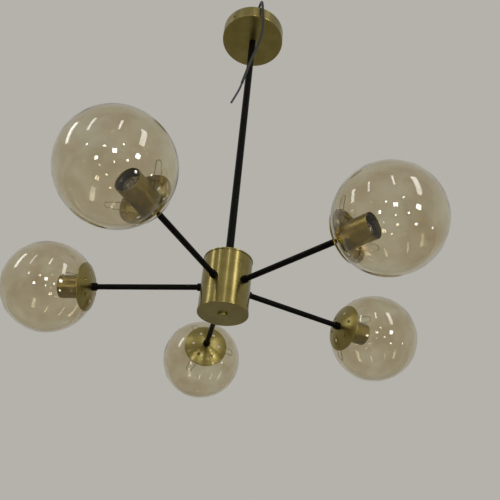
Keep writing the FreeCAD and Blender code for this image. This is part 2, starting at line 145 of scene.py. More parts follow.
DISH_INNER_R = DISH_OUTER_R - DISH_THICK
ARM_DIRECTIONS = [Vector(joint["axis"]) for joint in frame["joints"]]
UP = Vector((0, 0, 1))


def distance_at(sphere_radius, radius):
    """Distance from the hub's axis at which a globe-centred sphere has this radius."""
    return GLOBE_CENTRE - math.sqrt(sphere_radius ** 2 - radius ** 2)


def arm_frame(direction):
    """The frame of the arm that points in this direction."""
    level = direction.cross(UP)
    axes = Matrix((UP, level, direction)).transposed().to_4x4()
    return Matrix.Translation(UP * ARM_Z * MM) @ axes


# ---------------------------------------------------------------- colours and nodes
def colour(code):
    """An sRGB colour such as "A48F54" as the linear colour that nodes take."""
    channels = [int(code[start:start + 2], 16) / 255 for start in (0, 2, 4)]
    linear = [c / 12.92 if c <= 0.04045 else ((c + 0.055) / 1.055) ** 2.4 for c in channels]
    return (*linear, 1.0)


def add(tree, kind, sockets=None, **settings):
    """Adds a node with its settings, and sets its sockets or links them to other nodes'."""
    node = tree.nodes.new(kind)
    for name, value in settings.items():
        setattr(node, name, value)
    for name, value in (sockets or {}).items():
        if isinstance(value, bpy.types.NodeSocket):
            tree.links.new(value, node.inputs[name])
        else:
            node.inputs[name].default_value = value
    return node


def new_finish(name):
    """An empty material, with its node tree and output."""
    material = bpy.data.materials.new(name)
    material.use_nodes = True
    tree = material.node_tree
    tree.nodes.clear()
    output = add(tree, "ShaderNodeOutputMaterial")
    return material, tree, output


def finished(tree, output, sockets):
    """Puts the material's surface together from its sockets."""
    shader = add(tree, "ShaderNodeBsdfPrincipled", sockets)
    tree.links.new(shader.outputs["BSDF"], output.inputs["Surface"])


def grain(tree, spacing, detail=2.0, vector=None, seed=0.0):
    """Noise whose lumps are this many millimetres apart, as a value from 0 to 1."""
    if vector is None:
        vector = add(tree, "ShaderNodeTexCoord").outputs["Object"]
    noise = add(tree, "ShaderNodeTexNoise",
                {"Vector": vector, "W": seed, "Scale": 1 / (spacing * MM), "Detail": detail},
                noise_dimensions="4D")
    return noise.outputs["Fac"]


def ranged(tree, value, low, high, start=0.3, end=0.7):
    """A grain's values from start to end, spread over low to high."""
    return add(tree, "ShaderNodeMapRange",
               {"Value": value, "From Min": start, "From Max": end,
                "To Min": low, "To Max": high}).outputs["Result"]


def blended(tree, share, first, second):
    """A colour between two hex colours."""
    mix = add(tree, "ShaderNodeMix", {"Factor": share}, data_type="RGBA")
    for name, code in (("A", first), ("B", second)):
        socket = next(s for s in mix.inputs if s.name == name and s.type == "RGBA")
        socket.default_value = colour(code)
    return next(s for s in mix.outputs if s.type == "RGBA")


def relief(tree, height, depth):
    """Surface relief from a height of 0 to 1, this many millimetres deep."""
    bump = add(tree, "ShaderNodeBump", {"Height": height, "Strength": 1.0,
                                        "Distance": depth * MM})
    return bump.outputs["Normal"]


def turning_lines(tree, spacing):
    """Fine lines round the piece's own axis, as an abrasive leaves them on a turned piece."""
    place = add(tree, "ShaderNodeTexCoord").outputs["Object"]
    parts = add(tree, "ShaderNodeSeparateXYZ", {"Vector": place})
    flat = add(tree, "ShaderNodeCombineXYZ", {"X": parts.outputs["X"], "Y": parts.outputs["Y"]})
    radius = add(tree, "ShaderNodeVectorMath", {0: flat.outputs["Vector"]}, operation="LENGTH")
    heading = add(tree, "ShaderNodeVectorMath", {0: flat.outputs["Vector"]},
                  operation="NORMALIZE")
    # A line runs on for a good part of a turn before it fades into the next.
    fade = add(tree, "ShaderNodeVectorMath", {0: heading.outputs["Vector"], "Scale": 1.3},
               operation="SCALE")
    across = add(tree, "ShaderNodeMath", {0: parts.outputs["Z"], 1: 1 / (spacing * MM)},
                 operation="MULTIPLY")
    outward = add(tree, "ShaderNodeMath",
                  {0: radius.outputs["Value"], 1: 1 / (spacing * MM)}, operation="MULTIPLY")
    level = add(tree, "ShaderNodeCombineXYZ", {"Z": across.outputs["Value"]})
    sum_of = add(tree, "ShaderNodeVectorMath",
                 {0: fade.outputs["Vector"], 1: level.outputs["Vector"]}, operation="ADD")
    noise = add(tree, "ShaderNodeTexNoise",
                {"Vector": sum_of.outputs["Vector"], "W": outward.outputs["Value"],
                 "Scale": 1.0, "Detail": 3.0, "Roughness": 0.6}, noise_dimensions="4D")
    return noise.outputs["Fac"]


# ---------------------------------------------------------------- finishes
def brushed_lacquered_brass():
    """Turned brass, brushed round its axis and lacquered. The eye sees a satin gold that goes
    olive in shade, highlights drawn out along the axis, and a thin clear shine on top."""
    material, tree, output = new_finish("brushed_lacquered_brass")
    # Brush lines are 0.1 mm apart. They are drawn 0.45 mm apart, so that they show.
    lines = turning_lines(tree, 0.45)
    handling = grain(tree, 28, detail=3.0)
    tone = add(tree, "ShaderNodeMath", {0: lines, 1: handling}, operation="ADD")
    share = ranged(tree, tone.outputs["Value"], 0.0, 1.0, 0.75, 1.25)
    tangent = add(tree, "ShaderNodeTangent", direction_type="RADIAL", axis="Z")
    finished(tree, output, {
        "Base Color": blended(tree, share, "80733C", "988A52"),
        "Metallic": 1.0,
        "Roughness": ranged(tree, lines, 0.27, 0.36),
        "Anisotropic": 0.75,
        "Anisotropic Rotation": 0.25,
        "Tangent": tangent.outputs["Tangent"],
        "Normal": relief(tree, lines, 0.012),
        "Coat Weight": 0.25,
        "Coat Roughness": 0.12,
    })
    return material


def satin_black_powder_coat():
    """Steel tube under a baked powder coat. The eye sees a near-black satin with a very faint
    orange-peel texture and a soft grey highlight."""
    material, tree, output = new_finish("satin_black_powder_coat")
    peel = grain(tree, 1.4, detail=2.0)
    finished(tree, output, {
        "Base Color": blended(tree, ranged(tree, grain(tree, 22), 0.0, 1.0), "050504", "090807"),
        "Roughness": ranged(tree, peel, 0.34, 0.44),
        "Specular IOR Level": 0.06,
        "Normal": relief(tree, peel, 0.03),
    })
    return material


def moulded_black_thermoset():
    """Compression-moulded phenolic. The eye sees a hard brown-black with a dull gloss and the
    faint flow marks of the mould."""
    material, tree, output = new_finish("moulded_black_thermoset")
    flow = grain(tree, 6, detail=4.0)
    finished(tree, output, {
        "Base Color": blended(tree, ranged(tree, flow, 0.0, 1.0), "0A0807", "14100D"),
        "Roughness": ranged(tree, flow, 0.24, 0.36),
        "Specular IOR Level": 0.25,
        "Normal": relief(tree, grain(tree, 0.8), 0.01),
    })
    return material


def champagne_blown_glass():
    """Mould-blown glass with a champagne lustre fired on. The eye sees clear glass that warms
    what is behind it, deeper towards the rim, with gentle waves in its reflections."""
    material, tree, output = new_finish("champagne_blown_glass")
    rim = add(tree, "ShaderNodeLayerWeight", {"Blend": 0.35}).outputs["Facing"]
    waves = grain(tree, 38, detail=1.0)
    # The lustre lies thicker in some places than in others, and is pinker there.
    lustre = ranged(tree, grain(tree, 46, detail=3.0, seed=4.0), 0.0, 1.0, 0.35, 0.7)
    pale = blended(tree, lustre, "F0EDDE", "DED2BA")
    depth = ranged(tree, rim, 0.0, 1.0, 0.72, 1.0)
    tint = add(tree, "ShaderNodeMix", {"Factor": depth}, data_type="RGBA")
    ends = [socket for socket in tint.inputs if socket.type == "RGBA"]
    tree.links.new(pale, ends[0])
    ends[1].default_value = colour("9C8E68")
    shade = next(socket for socket in tint.outputs if socket.type == "RGBA")
    finished(tree, output, {
        "Base Color": shade,
        "Roughness": 0.01,
        "IOR": 1.5,
        "Transmission Weight": 1.0,
        "Normal": relief(tree, waves, 0.35),
    })
    return material


def nickelled_pressed_brass():
    """Pressed brass sheet with bright nickel plate. The eye sees a warm silver with soft
    press marks."""
    material, tree, output = new_finish("nickelled_pressed_brass")
    marks = grain(tree, 2.5, detail=3.0)
    finished(tree, output, {
        "Base Color": blended(tree, ranged(tree, marks, 0.0, 1.0), "B8AE9C", "CFC7B8"),
        "Metallic": 1.0,
        "Roughness": ranged(tree, marks, 0.18, 0.32),
        "Normal": relief(tree, marks, 0.01),
    })
    return material


def zinc_plated_steel():
    """Pressed and threaded steel with bright zinc plate. The eye sees a cool grey with faint
    cloudy spangle and duller edges."""
    material, tree, output = new_finish("zinc_plated_steel")
    spangle = grain(tree, 5, detail=5.0)
    finished(tree, output, {
        "Base Color": blended(tree, ranged(tree, spangle, 0.0, 1.0), "A9ABAC", "C7C8C6"),
        "Metallic": 1.0,
        "Roughness": ranged(tree, spangle, 0.3, 0.48),
        "Normal": relief(tree, spangle, 0.015),
    })
    return material


def drawn_spring_wire():
    """Hard-drawn stainless wire. The eye sees a thin, bright, warm-grey line with faint die
    marks along it."""
    material, tree, output = new_finish("drawn_spring_wire")
    marks = grain(tree, 1.2, detail=2.0)
    finished(tree, output, {
        "Base Color": blended(tree, ranged(tree, marks, 0.0, 1.0), "8E8772", "A79F86"),
        "Metallic": 1.0,
        "Roughness": ranged(tree, marks, 0.22, 0.34),
        "Normal": relief(tree, marks, 0.01),
    })
    return material


def extruded_sheath(name, dark, light):
    """Extruded vinyl. The eye sees a smooth skin with a soft sheen and slight handling marks."""
    material, tree, output = new_finish(name)
    skin = grain(tree, 3, detail=3.0)
    finished(tree, output, {
        "Base Color": blended(tree, ranged(tree, skin, 0.0, 1.0), dark, light),
        "Roughness": ranged(tree, skin, 0.38, 0.52),
        "Normal": relief(tree, skin, 0.02),
    })
    return material


def moulded_nylon():
    """Moulded natural nylon. The eye sees a milky white with a soft, slightly deep sheen."""
    material, tree, output = new_finish("moulded_nylon")
    milk = grain(tree, 4, detail=2.0)
    finished(tree, output, {
        "Base Color": blended(tree, ranged(tree, milk, 0.0, 1.0), "CFCBBE", "E0DCD0"),
        "Roughness": ranged(tree, milk, 0.36, 0.48),
        "Subsurface Weight": 0.2,
        "Normal": relief(tree, milk, 0.01),
    })
    return material


FINISHES = {
    "tinted_glass": champagne_blown_glass(),
    "brushed_brass": brushed_lacquered_brass(),
    "black_enamel": satin_black_powder_coat(),
    "black_thermoset": moulded_black_thermoset(),
    "nickelled_brass": nickelled_pressed_brass(),
    "zinc_steel": zinc_plated_steel(),
    "spring_wire": drawn_spring_wire(),
    "lead_sheath": extruded_sheath("black_vinyl_sheath", "0B0B0B", "131312"),
    "brown_insulation": extruded_sheath("brown_vinyl_insulation", "2A1A12", "3B261B"),
    "blue_insulation": extruded_sheath("blue_vinyl_insulation", "1E2C44", "2B3D5A"),
    "clear_nylon": moulded_nylon(),
}


# ---------------------------------------------------------------- making and fitting pieces
def mesh_piece(name, corners, faces):
    """A smooth closed mesh from corners in millimetres."""
    mesh = bpy.data.meshes.new(name)
    mesh.from_pydata([Vector(corner) * MM for corner in corners], [], faces)
    work = bmesh.new()
    work.from_mesh(mesh)
    bmesh.ops.remove_doubles(work, verts=work.verts, dist=0.001 * MM)
    bmesh.ops.recalc_face_normals(work, faces=work.faces)
    work.to_mesh(mesh)
    work.free()
    mesh.shade_smooth()
    piece = bpy.data.objects.new(name, mesh)
    scene.collection.objects.link(piece)
    return piece


def even_shading(piece):
    """Keeps flat faces flat beside their rounded edges."""
    piece.modifiers.new("even_shading", "WEIGHTED_NORMAL")


def softened(piece, width):
    """Breaks the sharp edges of a piece, as deburring does."""
    weld = piece.modifiers.new("joined_edges", "WELD")
    weld.merge_threshold = 0.001 * MM
    edge = piece.modifiers.new("broken_edges", "BEVEL")
    edge.width = width * MM
    edge.segments = 2
    edge.limit_method = "ANGLE"
    edge.angle_limit = math.radians(35)
    even_shading(piece)


def fitted(piece, slot, body, nodes, place=None):
    """Puts a finished piece in its place on a body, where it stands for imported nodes."""
    if place is not None:
        piece.matrix_world = place
    piece.data.materials.clear()
    piece.data.materials.append(FINISHES[slot])
    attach(piece, body)
    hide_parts(*nodes)
    return piece


def eased(outline):
    """A closed outline of (radius, height, easing) corners, each rounded to its easing."""
    points = []
    for index, (radius, height, easing) in enumerate(outline):
        corner = Vector((radius, height))
        back = Vector(outline[index - 1][:2]) - corner
        ahead = Vector(outline[(index + 1) % len(outline)][:2]) - corner
        if not easing:
            points.append(corner)
            continue
        half_angle = back.angle(ahead) / 2
        trim = min(easing / math.tan(half_angle), 0.49 * back.length, 0.49 * ahead.length)
        arc_r = trim * math.tan(half_angle)
        centre = corner + (back.normalized() + ahead.normalized()).normalized() * (
            arc_r / math.sin(half_angle))
        start = (corner + back.normalized() * trim - centre).normalized()
        end = (corner + ahead.normalized() * trim - centre).normalized()
        steps = max(2, round(8 * (1 - 2 * half_angle / math.pi)) + 1)
        points += [centre + start.slerp(end, step / steps) * arc_r for step in range(steps + 1)]
    return points


def skinned(name, rings):
    """A closed mesh over rings of points in a row; the last ring joins the first. A ring whose
    points are all one point is a pole."""
    count = len(rings[0])
    corners = [point for ring in rings for point in ring]
    faces = []
    for index in range(len(rings)):
        following = (index + 1) % len(rings)
        both_poles = rings[index][0] == rings[index][1] and rings[following][0] == rings[following][1]
        if both_poles:
            continue
        for near in range(count):
            far = (near + 1) % count
            face = [index * count + near, index * count + far,
                    following * count + far, following * count + near]
            if rings[index][near] == rings[index][far]:
                face.pop(1)
            elif rings[following][near] == rings[following][far]:
                face.pop(2)
            faces.append(face)
    return mesh_piece(name, corners, faces)


def turned(name, outline, facets=96):
    """A piece turned about its own Z axis, from the eased outline of its half section."""
    rings = []
    for radius, height in eased(outline):
        rings.append([(radius * math.cos(TURN * k / facets), radius * math.sin(TURN * k / facets),
                       height) for k in range(facets)])
    piece = skinned(name, rings)
    even_shading(piece)
    return piece


def bent_wire(name, route, radius):
    """A round wire or cord whose line is the smooth spline over its route."""
    curve = bpy.data.curves.new(name, "CURVE")
    curve.dimensions = "3D"
    curve.bevel_depth = radius * MM
    curve.bevel_resolution = 6
    curve.resolution_u = 12
    curve.use_fill_caps = True
    spline = curve.splines.new("NURBS")
    spline.points.add(len(route) - 1)
    for point, place in zip(spline.points, route):
        point.co = (*(Vector(place) * MM), 1.0)
    spline.order_u = 3
    spline.use_endpoint_u = True
    wire = bpy.data.objects.new(name, curve)
    scene.collection.objects.link(wire)
    return wire


def threaded(name, crest, root, pitch, start, end, wall, facets=64):
    """A thin tube pressed or cut with a round thread between two radii."""
    rows = max(2, round((end - start) / pitch * 12))
    middle, swing = (crest + root) / 2, (root - crest) / 2
    outer, inner = [], []
    for row in range(rows + 1):
        height = start + (end - start) * row / rows
        fade = min(1.0, (height - start) / pitch, (end - height) / pitch)
        sides = []
        for k in range(facets):
            angle = TURN * k / facets
            wave = math.cos(TURN * height / pitch - angle) * swing * fade
            sides.append((angle, middle + wave))
        outer.append([((r + wall / 2) * math.cos(a), (r + wall / 2) * math.sin(a), height)
                      for a, r in sides])
        inner.append([((r - wall / 2) * math.cos(a), (r - wall / 2) * math.sin(a), height)
                      for a, r in sides])
    return skinned(name, outer + inner[::-1])


def pierced_cap(name):
    """The vented dish: a thin ball-shaped cap with a hole for the arm and a ring of vents."""
    step = 2.0
    outline_points, loops = [], []

    def loop(radius, count, centre_x=0.0, centre_y=0.0):
        first = len(outline_points)
        for k in range(count):
            angle = TURN * k / count
            outline_points.append(Vector((centre_x + radius * math.cos(angle),
                                          centre_y + radius * math.sin(angle))))
        loops.extend((first + k, first + (k + 1) % count) for k in range(count))

    vents = [(VENT_CIRCLE_R * math.cos(VENT_FIRST_ANGLE + TURN * k / VENT_COUNT),
              VENT_CIRCLE_R * math.sin(VENT_FIRST_ANGLE + TURN * k / VENT_COUNT))
             for k in range(VENT_COUNT)]
    loop(ARM_HOLE_R, 32)
    loop(DISH_RIM_R, 128)
    for x, y in vents:
        loop(VENT_R, 24, x, y)
        loop(VENT_R + 1.0, 24, x, y)
    radius = ARM_HOLE_R + step
    while radius < DISH_RIM_R - step / 2:
        count = max(32, 4 * round(TURN * radius / step / 4))
        for k in range(count):
            point = Vector((radius * math.cos(TURN * k / count), radius * math.sin(TURN * k / count)))
            if all((point - Vector(vent)).length > VENT_R + 1.6 for vent in vents):
                outline_points.append(point)
        radius += step
    points, _, triangles, *_ = delaunay_2d_cdt(outline_points, loops, [], 0, 1e-5)
    kept = []
    for triangle in triangles:
        middle = sum((points[k] for k in triangle), Vector((0, 0))) / 3
        in_vent = any((middle - Vector(vent)).length < VENT_R * 0.99 for vent in vents)
        if middle.length > ARM_HOLE_R * 0.99 and not in_vent:
            kept.append(list(triangle))
    edges = {}
    for triangle in kept:
        for a, b in zip(triangle, triangle[1:] + triangle[:1]):
            edges[(a, b)] = edges.get((a, b), 0) + 1
    shift = len(points)
    corners = [(p.x, p.y, distance_at(DISH_OUTER_R, p.length)) for p in points]
    corners += [(p.x, p.y, distance_at(DISH_INNER_R, p.length)) for p in points]
    faces = list(kept)
    faces += [[k + shift for k in reversed(face)] for face in kept]
    faces += [[b, a, a + shift, b + shift] for a, b in edges if (b, a) not in edges]
    dish = mesh_piece(name, corners, faces)
    softened(dish, 0.3)
    return dish


def hexagon_nut(name, across_flats, bore_r, bottom, top):
    """A nut with chamfered corners, its hexagon's points along local X."""
    facets = 72
    flat_r = across_flats / 2
    slope = math.tan(math.radians(30))

    def ring(radius_at, height_at):
        points = []
        for k in range(facets):
            angle = TURN * k / facets
            radius = radius_at(angle)
            points.append((radius * math.cos(angle), radius * math.sin(angle), height_at(radius)))
        return points

    def hexagon(angle):
        return flat_r / math.cos((angle + math.pi / 6) % (math.pi / 3) - math.pi / 6)

    def circle(radius):
        return lambda angle: radius

    bevel = 0.5
    rings = [
        ring(circle(bore_r), lambda r: bottom + bevel),
        ring(circle(bore_r + bevel), lambda r: bottom),
        ring(circle(flat_r * 0.97), lambda r: bottom),
        ring(hexagon, lambda r: bottom + (r - flat_r * 0.97) * slope),
        ring(hexagon, lambda r: top - (r - flat_r * 0.97) * slope),
        ring(circle(flat_r * 0.97), lambda r: top),
        ring(circle(bore_r + bevel), lambda r: top),
        ring(circle(bore_r), lambda r: top - bevel),
    ]
    nut = skinned(name, rings)
    softened(nut, 0.12)
    return nut


def cut_out(piece, cutter):
    """Cuts one mesh out of another and throws the cutter away."""
    cut = piece.modifiers.new("cut", "BOOLEAN")
    cut.object = cutter
    cut.solver = "EXACT"
    bpy.context.view_layer.update()
    evaluated = piece.evaluated_get(bpy.context.evaluated_depsgraph_get())
    result = bpy.data.meshes.new_from_object(evaluated)
    piece.modifiers.clear()
    piece.data = result
    bpy.data.objects.remove(cutter)


def block(name, low, high):
    """A plain block between two corners, for cutting with."""
    corners = [(x, y, z) for z in (low[2], high[2]) for y in (low[1], high[1]) for x in (low[0], high[0])]
    faces = [(0, 1, 3, 2), (4, 6, 7, 5), (0, 4, 5, 1), (2, 3, 7, 6), (0, 2, 6, 4), (1, 5, 7, 3)]
    return mesh_piece(name, corners, faces)


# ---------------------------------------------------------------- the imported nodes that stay
for subpart in frame["record"]["subparts"]:
    packed = frame["nodes"][subpart["node"]]
    packed.material_slots[0].material = FINISHES[subpart["material_slot"]]
for name, width in (("canopy", 0.3), ("ceiling_bracket", 0.3), ("hub_body", 0.2),
                    ("canopy_washer", 0.15)):
    softened(frame["nodes"][name], width)


# ---------------------------------------------------------------- supply lead
LEAD_ROUTE = [
    (0.0, 0.0, -16.0),
    (0.0, 0.0, 12.0),
    (1.0, -21.0, 33.0),
    (2.5, -48.0, 34.0),
    (3.5, -68.5, 14.0),
    (5.5, -72.5, -16.0),
    (8.5, -72.0, -46.0),
    (10.0, -70.5, -76.0),
    (7.5, -68.5, -104.0),
    (2.0, -65.5, -131.0),
    (-4.5, -61.5, -158.0),
    (-11.0, -57.5, -188.0),
    (-16.8, -53.5, -220.0),
]
CORE_ROUTE = [
    (-16.8, -53.5, -220.0),
    (-19.2, -51.8, -233.3),
    (-24.5, -49.6, -250.0),
    (-31.8, -46.9, -271.0),
]


def make_supply_lead():
    """The sheathed lead and its two stripped cores, which lie side by side."""
    run = Vector(CORE_ROUTE[1]) - Vector(CORE_ROUTE[0])
    sideways = run.cross(Vector((0, 1, 0))).normalized()
    for name, side, slot in (("live", -1, "brown_insulation"), ("neutral", 1, "blue_insulation")):
        offset = sideways * side * (CORE_R + CORE_GAP)
        route = [Vector(place) + offset for place in CORE_ROUTE]
        core = bent_wire("stripped_core_" + name, route, CORE_R)
        fitted(core, slot, "fixture", ["lead_core_" + name])
    lead = bent_wire("hanging_supply_lead", LEAD_ROUTE, LEAD_R)
    fitted(lead, "lead_sheath", "fixture", ["supply_lead"])


# ---------------------------------------------------------------- ceiling end
def make_ceiling_fittings():
    """What the open canopy shows from above, and the screws in its sides."""
    nut = hexagon_nut("canopy_nut", NUT_ACROSS_FLATS, THREAD_HOLE_R, NUT_BOTTOM_Z, NUT_TOP_Z)
    fitted(nut, "zinc_steel", "fixture", ["canopy_locknut"])
    nipple = threaded("threaded_stem_nipple", *NIPPLE_THREAD, NIPPLE_BOTTOM_Z, NIPPLE_TOP_Z,
                      NIPPLE_WALL)
    fitted(nipple, "zinc_steel", "fixture", ["stem_top_nipple"])
    bushing = turned("lead_bushing", [
        (LEAD_R, NIPPLE_TOP_Z, 0), (BUSHING_R, NIPPLE_TOP_Z, 0.3),
        (BUSHING_R, NIPPLE_TOP_Z + 1.8, 0.5), (BUSHING_R - 1.4, BUSHING_TOP_Z, 0.6),
        (LEAD_R, BUSHING_TOP_Z, 0.4),
    ])
    fitted(bushing, "black_thermoset", "fixture", ["nipple_bushing"])
    for number in (1, 2):
        screw = turned("side_screw_%d" % number, [
            (0, SCREW_TIP, 0), (SCREW_SHANK_R - 0.5, SCREW_TIP, 0.2),
            (SCREW_SHANK_R, SCREW_TIP + 0.6, 0.2), (SCREW_SHANK_R, CANOPY_R, 0),
            (SCREW_HEAD_R, CANOPY_R, 0.15), (SCREW_HEAD_R, CANOPY_R + 0.9, 0.8),
            (SCREW_HEAD_R * 0.72, CANOPY_R + 2.1, 1.6), (0, CANOPY_R + 2.4, 0),
        ], facets=48)
        slot = block("slot", (-SCREW_HEAD_R - 1, -0.45, CANOPY_R + 1.4),
                     (SCREW_HEAD_R + 1, 0.45, CANOPY_R + 4))
        cut_out(screw, slot)
        even_shading(screw)
        angle = math.radians(SCREW_AZIMUTH) + math.pi * (number - 1)
        outward = Vector((math.cos(angle), math.sin(angle), 0))
        axes = Matrix((UP, outward.cross(UP), outward)).transposed().to_4x4()
        place = Matrix.Translation(UP * SCREW_Z * MM) @ axes
        fitted(screw, "brushed_brass", "fixture", ["canopy_side_screws"], place)


# ---------------------------------------------------------------- hub
def make_hub():
    """Lid, cap and finial of the brass drum."""
    lid_under = HUB_TOP_Z - LID_THICK
    spigot_in = SPIGOT_R - SPIGOT_WALL
    lid = turned("drum_lid", [
        (THREAD_HOLE_R, HUB_TOP_Z, 0.1), (COVER_R, HUB_TOP_Z, 0.6), (COVER_R, lid_under, 0.25),
        (SPIGOT_R, lid_under, 0), (SPIGOT_R, LID_SPIGOT_Z, 0.2), (spigot_in, LID_SPIGOT_Z, 0.2),
        (spigot_in, lid_under, 0), (THREAD_HOLE_R, lid_under, 0.1),
    ], facets=160)
    fitted(lid, "brushed_brass", "fixture", ["hub_top_cover"])
    rim_top = HUB_BODY_BOTTOM_Z
    floor_top = HUB_BOTTOM_Z + CAP_FLOOR
    cap = turned("drum_cap", [
        (THREAD_HOLE_R, HUB_BOTTOM_Z, 0.1), (COVER_R, HUB_BOTTOM_Z, 0.7), (COVER_R, rim_top, 0.2),
        (SPIGOT_R, rim_top, 0), (SPIGOT_R, CAP_SPIGOT_Z, 0.2), (spigot_in, CAP_SPIGOT_Z, 0.2),
        (spigot_in, floor_top, 0.5), (THREAD_HOLE_R, floor_top, 0.1),
    ], facets=160)
    fitted(cap, "brushed_brass", "fixture", ["hub_bottom_cover"])
    finial = turned("drum_finial", [
        (0, FINIAL_UNDER_Z, 0), (FINIAL_R, FINIAL_UNDER_Z, 1.6), (FINIAL_R, HUB_BOTTOM_Z, 0.15),
        (THREAD_HOLE_R, HUB_BOTTOM_Z, 0.1),
        (THREAD_HOLE_R, HUB_BOTTOM_Z - FINIAL_HOLE_DEPTH, 0.1),
        (0, HUB_BOTTOM_Z - FINIAL_HOLE_DEPTH, 0),
    ])
    fitted(finial, "brushed_brass", "fixture", ["hub_finial"])


# ---------------------------------------------------------------- arms
def make_hub_collar(name):
    """Collar whose back follows the round of the drum."""
    collar = turned(name, [
        (ARM_HOLE_R, HUB_R - 2, 0), (HUB_COLLAR_R, HUB_R - 2, 0),
        (HUB_COLLAR_R, HUB_COLLAR_END, 0.8), (ARM_HOLE_R, HUB_COLLAR_END, 0.1),
    ], facets=64)
    for vertex in collar.data.vertices:
        drum = math.sqrt((HUB_R * MM) ** 2 - vertex.co.y ** 2)
        vertex.co.z = max(vertex.co.z, drum)
    return collar


def make_end_collar(name):
    """Collar between the arm's end and the back of the dish."""
    return turned(name, [
        (ARM_HOLE_R, END_COLLAR_START, 0.1), (END_COLLAR_R, END_COLLAR_START, 0.8),
        (END_COLLAR_R, distance_at(DISH_OUTER_R, END_COLLAR_R), 0.1),
        (ARM_HOLE_R, distance_at(DISH_OUTER_R, ARM_HOLE_R), 0),
    ], facets=64)


def make_clip(name):
    """Spring wire bent to a U: two feet on the dish, and a bow along the inside of the globe."""
    first, last = CLIP_PROFILE[0][0], CLIP_PROFILE[-1][0]
    leg = []
    for outwards, sphere_radius in CLIP_PROFILE:
        share = (outwards - first) / (last - first)
        sideways = CLIP_HALF_WIDTH_AT_FOOT + share * (CLIP_HALF_WIDTH_AT_TIP - CLIP_HALF_WIDTH_AT_FOOT)
        along = distance_at(sphere_radius, math.hypot(outwards, sideways))
        leg.append((outwards, sideways, along))
    other_leg = [(outwards, -sideways, along) for outwards, sideways, along in reversed(leg)]
    return bent_wire(name, leg + other_leg, CLIP_WIRE_R)


def make_socket_cup(name):
    """Deep drawn cup with a small rolled bead at its mouth."""
    inner = CUP_R - CUP_WALL
    floor = CUP_BACK + DISH_THICK
    return turned(name, [
        (ARM_HOLE_R, CUP_BACK, 0), (CUP_R, CUP_BACK, 1.0),
        (CUP_R, CUP_FRONT, 0.35), (inner, CUP_FRONT, 0.3), (inner, floor, 0.6),
        (ARM_HOLE_R, floor, 0),
    ], facets=128)


def make_lampholder(name):
    """Moulded body that fills the cup, with a stepped bore and a rounded mouth."""
    bevel = 1.2
    return turned(name, [
        (0, HOLDER_BACK, 0), (HOLDER_R, HOLDER_BACK, 0.6), (HOLDER_R, HOLDER_FRONT, bevel),
        (HOLDER_MOUTH_R, HOLDER_FRONT, 0.6), (HOLDER_BORE_R, HOLDER_FRONT - 3 * bevel, 0.6),
        (HOLDER_BORE_R, HOLDER_FLOOR, 0.4), (0, HOLDER_FLOOR, 0),
    ], facets=128)


def make_contact(name):
    """Sprung tongue on the lampholder's floor, bent up to meet the lamp's tip."""
    thick, half_width, rise = 0.5, 2.5, 4.5
    path = [(-9.0, 0.0, 0), (-4.0, 0.0, 1.2), (0.5, rise, 1.2), (3.5, rise, 0)]
    rings = []
    outline = eased(path + [(x, z + thick, easing) for x, z, easing in reversed(path)])
    for side in (-half_width, half_width):
        rings.append([(x, side, HOLDER_FLOOR + z) for x, z in outline])
    corners = rings[0] + rings[1]
    count = len(outline)
    faces = [list(range(count)), list(range(2 * count - 1, count - 1, -1))]
    faces += [[k, k + count, (k + 1) % count + count, (k + 1) % count] for k in range(count)]
    tongue = mesh_piece(name, corners, faces)
    softened(tongue, 0.1)
    return tongue


def make_globe(name):
    """Blown glass ball with a fire-polished mouth."""
    outer, inner = GLOBE_R, GLOBE_R - GLASS_THICK
    steps = 72
    outer_lip = math.asin(MOUTH_R / outer)
    inner_lip = math.asin(MOUTH_R / inner)
    section = [(outer, (math.pi - outer_lip) * k / steps) for k in range(steps + 1)]
    back = [(inner, (math.pi - inner_lip) * k / steps) for k in range(steps, -1, -1)]
    points = [Vector((radius * math.sin(angle), GLOBE_CENTRE + radius * math.cos(angle)))
              for radius, angle in section]
    back = [Vector((radius * math.sin(angle), GLOBE_CENTRE + radius * math.cos(angle)))
            for radius, angle in back]
    lip_centre = (points[-1] + back[0]) / 2
    lip_start = points[-1] - lip_centre
    lip = [lip_centre + Matrix.Rotation(-math.pi * k / 6, 2) @ lip_start for k in range(1, 6)]
    facets = 144
    rings = []
    for radius, height in points + lip + back:
        radius = 0.0 if radius < 1e-6 else radius
        rings.append([(radius * math.cos(TURN * k / facets), radius * math.sin(TURN * k / facets),
                       height) for k in range(facets)])
    return skinned(name, rings)


def make_arms():
    """Collars, dish, cup, lampholder and globe on every arm."""
    for number, direction in enumerate(ARM_DIRECTIONS, start=1):
        place = arm_frame(direction)
        pieces = [
            (make_hub_collar("drum_collar_%d" % number), "black_enamel", "arm_hub_collars"),
            (make_end_collar("dish_collar_%d" % number), "black_enamel", "arm_end_collars"),
            (pierced_cap("pierced_dish_%d" % number), "brushed_brass", "vented_dish_%d" % number),
            (make_socket_cup("drawn_cup_%d" % number), "brushed_brass", "socket_cup_%d" % number),
            (make_lampholder("moulded_holder_%d" % number), "black_thermoset",
             "lampholder_%d" % number),
            (threaded("threaded_shell_%d" % number, *SHELL_THREAD, SHELL_BACK, SHELL_FRONT,
                      SHELL_SHEET), "nickelled_brass", "screw_shell_%d" % number),
            (make_contact("contact_tongue_%d" % number), "nickelled_brass", "lamp_contacts"),
        ]
        for piece, slot, node in pieces:
            fitted(piece, slot, "fixture", [node], place)
        for index in range(round(360 / CLIP_STEP)):
            clip = make_clip("spring_clip_%d_%d" % (number, index + 1))
            angle = math.radians(CLIP_FIRST_ANGLES[number - 1] + index * CLIP_STEP)
            fitted(clip, "spring_wire", "fixture", ["globe_spring_clips"],
                   place @ Matrix.Rotation(angle, 4, "Z"))
        globe = make_globe("blown_globe_%d" % number)
        globe.data.transform(place)
        # Real glass lets the lamps through, so what it holds is lit.
        globe.visible_shadow = False
        fitted(globe, "tinted_glass", "globe_%d" % number, ["glass_globe_%d" % number])


